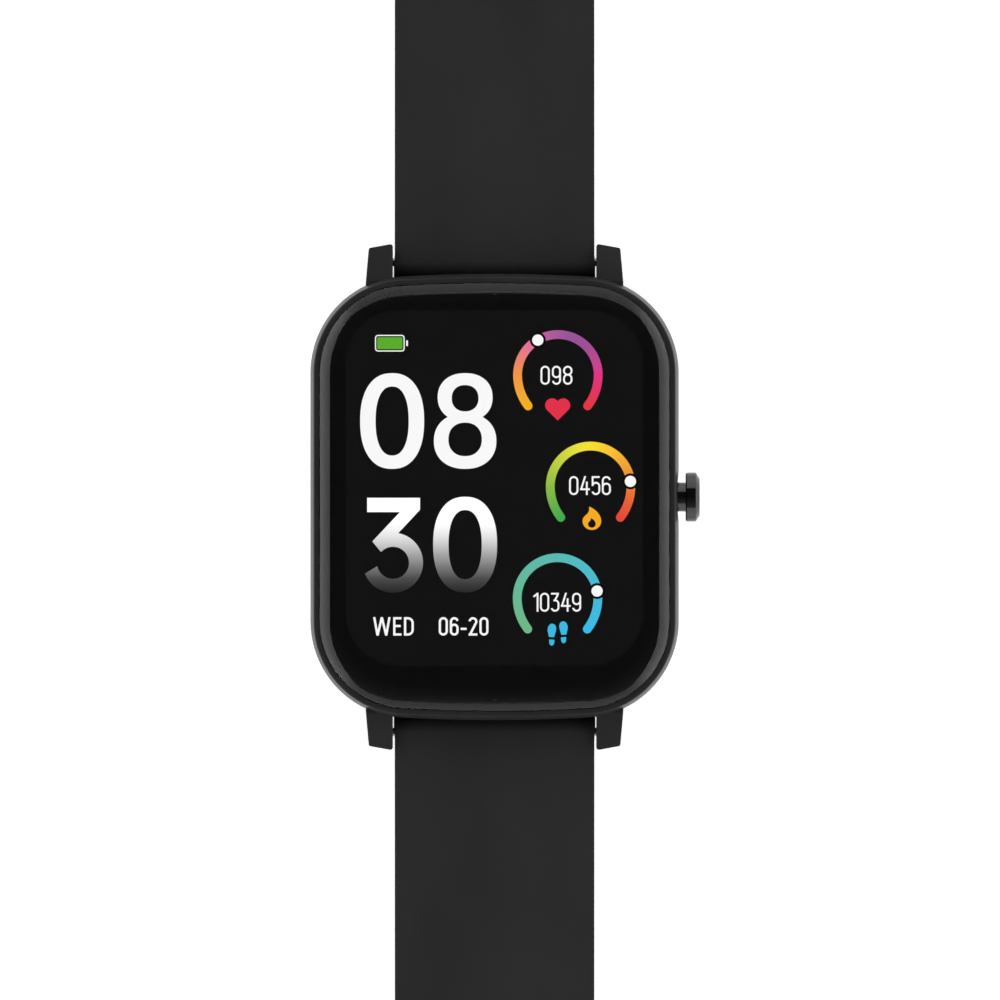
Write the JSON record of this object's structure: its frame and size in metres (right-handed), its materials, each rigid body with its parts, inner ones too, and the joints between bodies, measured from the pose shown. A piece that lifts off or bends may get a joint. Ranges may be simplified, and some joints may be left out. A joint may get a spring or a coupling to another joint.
{
  "type": "smartwatch",
  "caption": "Rectangular smartwatch with curved-edge glass, a push-and-turn side crown and a buckled silicone strap on quick-release spring bars.",
  "frame": {"origin": "middle of the flat on the raised back that the watch rests on, under the centre of the case", "axes": "+X towards the crown, +Y towards 12 o'clock and the buckle end of the strap, +Z out of the dial"},
  "size_m": [0.0389, 0.2567, 0.0104],
  "materials": {
    "case": "satin black moulded shell with a fine bead-blast grain",
    "back_cover": "polished black shell",
    "screw_steel": "blackened machine screws",
    "seal_rubber": "soft black seal",
    "cover_glass": "clear hardened glass, polished rim",
    "adhesive": "black bonding film",
    "sensor_window": "dark polished lens",
    "led": "clear-topped green light sources",
    "photodiode": "dark sensor die",
    "light_barrier": "black foam barrier",
    "circuit_board": "green solder mask",
    "gold_contact": "gilded pins",
    "magnet": "nickel-plated discs",
    "display": "black panel with lit graphics",
    "plate_steel": "stamped steel",
    "chassis": "dark grey moulding",
    "chip": "moulded component body",
    "battery": "foil pouch",
    "tungsten": "sintered heavy weight",
    "crown": "dark gunmetal plating",
    "spring_steel": "bright spring wire and pins",
    "switch": "moulded switch",
    "strap": "matte black silicone with a dry touch",
    "buckle": "black-plated steel"
  },
  "bodies": {
    "case_body": {"case": "case", "back_cover": "back_cover", "back_cover_screws": "screw_steel", "back_gasket": "seal_rubber", "cover_glass": "cover_glass", "glass_adhesive": "adhesive", "sensor_window": "sensor_window", "sensor_leds": "led", "sensor_photodiode": "photodiode", "sensor_light_barrier": "light_barrier", "sensor_board": "circuit_board", "charging_contacts": "gold_contact", "charging_magnets": "magnet", "display_module": "display", "display_plate": "plate_steel", "chassis": "chassis", "chassis_screws": "screw_steel", "main_board": "circuit_board", "processor_shield": "plate_steel", "display_connector": "chip", "bluetooth_antenna": "chip", "battery": "battery", "motor_can": "plate_steel", "motor_base": "plate_steel", "motor_shaft": "spring_steel", "switch_body": "switch", "crown_spring": "spring_steel"},
    "motor_rotor": {"motor_weight": "tungsten"},
    "switch_button": {"switch_plunger": "switch"},
    "crown_slider": {"crown_clip": "spring_steel"},
    "crown_knob": {"crown": "crown", "crown_seal": "seal_rubber"},
    "strap_short_body": {"strap_short": "strap", "fixed_keeper": "strap", "bar_tube_short": "spring_steel", "bar_spring_short": "spring_steel"},
    "strap_long_body": {"strap_long": "strap", "bar_tube_long": "spring_steel", "bar_spring_long": "spring_steel"},
    "keeper_body": {"free_keeper": "strap"},
    "buckle_body": {"buckle_frame": "buckle", "buckle_pin": "spring_steel"},
    "tongue_body": {"buckle_tongue": "buckle"},
    "pin_left_short": {"bar_pin_left_short": "spring_steel", "release_lever_short": "spring_steel"},
    "pin_right_short": {"bar_pin_right_short": "spring_steel"},
    "pin_left_long": {"bar_pin_left_long": "spring_steel", "release_lever_long": "spring_steel"},
    "pin_right_long": {"bar_pin_right_long": "spring_steel"}
  },
  "joints": [
    {"name": "crown_press", "type": "slide", "parent": "case_body", "child": "crown_slider", "axis": [-1, 0, 0], "range_m": [0, 0.0005], "stiffness_N_per_m": 2000, "deforming": ["crown_spring"]},
    {"name": "switch_press", "type": "slide", "parent": "case_body", "child": "switch_button", "axis": [-1, 0, 0], "range_m": [0, 0.0005]},
    {"name": "crown_spin", "type": "hinge", "parent": "crown_slider", "child": "crown_knob", "pos_m": [0.0191, 0, 0.0056], "axis": [1, 0, 0], "continuous": true},
    {"name": "motor_spin", "type": "hinge", "parent": "case_body", "child": "motor_rotor", "pos_m": [-0.0085, -0.0142, 0.0055], "axis": [0, 0, 1], "continuous": true},
    {"name": "strap_short_hinge", "type": "hinge", "parent": "case_body", "child": "strap_short_body", "pos_m": [0, 0.0235, 0.0042], "axis": [1, 0, 0], "range_deg": [-85, 60]},
    {"name": "strap_long_hinge", "type": "hinge", "parent": "case_body", "child": "strap_long_body", "pos_m": [0, -0.0235, 0.0042], "axis": [-1, 0, 0], "range_deg": [-85, 60]},
    {"name": "free_keeper_slide", "type": "slide", "parent": "strap_short_body", "child": "keeper_body", "axis": [0, 1, 0], "range_m": [-0.0085, 0.0042]},
    {"name": "buckle_hinge", "type": "hinge", "parent": "strap_short_body", "child": "buckle_body", "pos_m": [0, 0.1075, 0.0022], "axis": [1, 0, 0], "range_deg": [-45, 60]},
    {"name": "tongue_hinge", "type": "hinge", "parent": "buckle_body", "child": "tongue_body", "pos_m": [0, 0.1075, 0.0022], "axis": [1, 0, 0], "range_deg": [0, 80]},
    {"name": "pin_left_short_slide", "type": "slide", "parent": "strap_short_body", "child": "pin_left_short", "axis": [1, 0, 0], "range_m": [0, 0.00125], "stiffness_N_per_m": 400, "deforming": ["bar_spring_short"]},
    {"name": "pin_right_short_slide", "type": "slide", "parent": "strap_short_body", "child": "pin_right_short", "axis": [-1, 0, 0], "range_m": [0, 0.00125], "stiffness_N_per_m": 400, "deforming": ["bar_spring_short"]},
    {"name": "pin_left_long_slide", "type": "slide", "parent": "strap_long_body", "child": "pin_left_long", "axis": [1, 0, 0], "range_m": [0, 0.00125], "stiffness_N_per_m": 400, "deforming": ["bar_spring_long"]},
    {"name": "pin_right_long_slide", "type": "slide", "parent": "strap_long_body", "child": "pin_right_long", "axis": [-1, 0, 0], "range_m": [0, 0.00125], "stiffness_N_per_m": 400, "deforming": ["bar_spring_long"]}
  ],
  "couplings": [
    {"joint": "switch_press", "follows": "crown_press", "ratio": 1}
  ]
}
